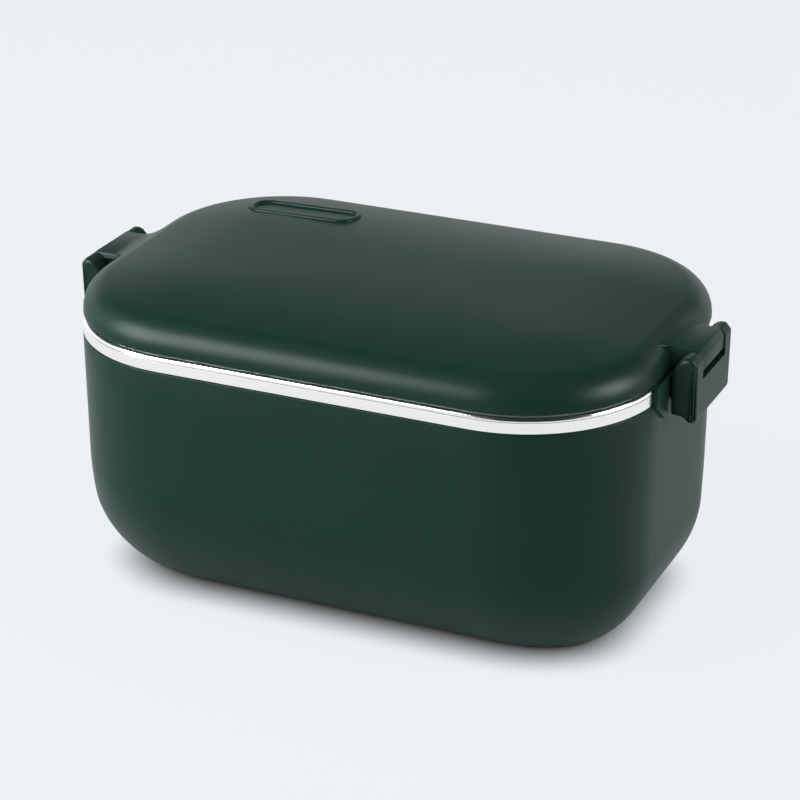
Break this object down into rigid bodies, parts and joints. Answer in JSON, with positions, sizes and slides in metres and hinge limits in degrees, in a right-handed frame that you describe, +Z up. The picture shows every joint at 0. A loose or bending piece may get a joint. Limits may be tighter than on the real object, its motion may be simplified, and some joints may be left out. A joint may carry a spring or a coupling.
{
  "type": "electric lunch box",
  "caption": "Portable electric lunch box: a heated steel liner in a dark green shell, a lift-out food container, and a domed lid with a steam stopper, held by swing latches",
  "frame": {"origin": "on the table, below the middle of the box", "axes": "+X along the length to the right end with a latch, +Z up, the power inlet on the +Y side"},
  "size_m": [0.2534, 0.157, 0.1247],
  "materials": {
    "shell_plastic": "satin moulded dark green",
    "latch_plastic": "satin moulded dark green",
    "polished_steel": "mirror-polished stainless steel",
    "brushed_steel": "brushed stainless steel",
    "bottom_plastic": "fine grained black",
    "fastener_steel": "zinc-plated steel",
    "foot_rubber": "matte",
    "heater_aluminium": "as drawn",
    "inlet_plastic": "moulded black",
    "fuse_ceramic": "white",
    "pad_felt": "white needled felt",
    "wire_brown": "silicone insulation",
    "wire_blue": "silicone insulation",
    "contact_brass": "plain",
    "silicone_green": "smooth silicone",
    "lens_amber": "clear amber",
    "board_green": "lacquered board",
    "cover_plastic": "white food-grade plastic",
    "seal_silicone": "translucent white silicone"
  },
  "bodies": {
    "base": {"outer_shell": "shell_plastic", "steel_liner": "polished_steel", "bottom_cover": "bottom_plastic", "bottom_screws": "fastener_steel", "foot_front_left": "foot_rubber", "foot_front_right": "foot_rubber", "foot_back_left": "foot_rubber", "foot_back_right": "foot_rubber", "heating_plate": "heater_aluminium", "ptc_heater": "heater_aluminium", "heater_clamp": "fastener_steel", "heater_screws": "fastener_steel", "thermostat": "inlet_plastic", "thermal_fuse": "fuse_ceramic", "fuse_clip": "fastener_steel", "insulation_pad": "pad_felt", "wire_live": "wire_brown", "wire_fuse": "wire_brown", "wire_heater": "wire_brown", "wire_neutral": "wire_blue", "inlet_housing": "inlet_plastic", "inlet_contacts": "contact_brass", "inlet_screws": "fastener_steel", "inlet_cover_pin": "fastener_steel", "indicator_lens": "lens_amber", "indicator_board": "board_green"},
    "container": {"food_container": "brushed_steel"},
    "lid": {"lid_shell": "shell_plastic", "lid_inner_cover": "cover_plastic", "lid_seal": "seal_silicone", "latch_pin_left": "fastener_steel", "latch_pin_right": "fastener_steel"},
    "latch_left": {"latch_left": "latch_plastic"},
    "latch_right": {"latch_right": "latch_plastic"},
    "steam_stopper": {"steam_stopper": "silicone_green"},
    "inlet_cover": {"inlet_cover": "silicone_green"}
  },
  "joints": [
    {"name": "container_lift", "type": "slide", "parent": "base", "child": "container", "axis": [0, 0, 1], "range_m": [0, 0.08]},
    {"name": "lid_lift", "type": "slide", "parent": "container", "child": "lid", "axis": [0, 0, 1], "range_m": [0, 0.06]},
    {"name": "latch_left_hinge", "type": "hinge", "parent": "lid", "child": "latch_left", "pos_m": [-0.1215, 0, 0.11304], "axis": [0, 1, 0], "range_deg": [0, 115]},
    {"name": "latch_right_hinge", "type": "hinge", "parent": "lid", "child": "latch_right", "pos_m": [0.1215, 0, 0.11304], "axis": [0, -1, 0], "range_deg": [0, 115]},
    {"name": "stopper_lift", "type": "slide", "parent": "lid", "child": "steam_stopper", "axis": [0, 0.0726, 0.9974], "range_m": [0, 0.015]},
    {"name": "inlet_cover_hinge", "type": "hinge", "parent": "base", "child": "inlet_cover", "pos_m": [0, 0.0583, 0.02924], "axis": [1, 0, 0], "range_deg": [0, 90]}
  ]
}
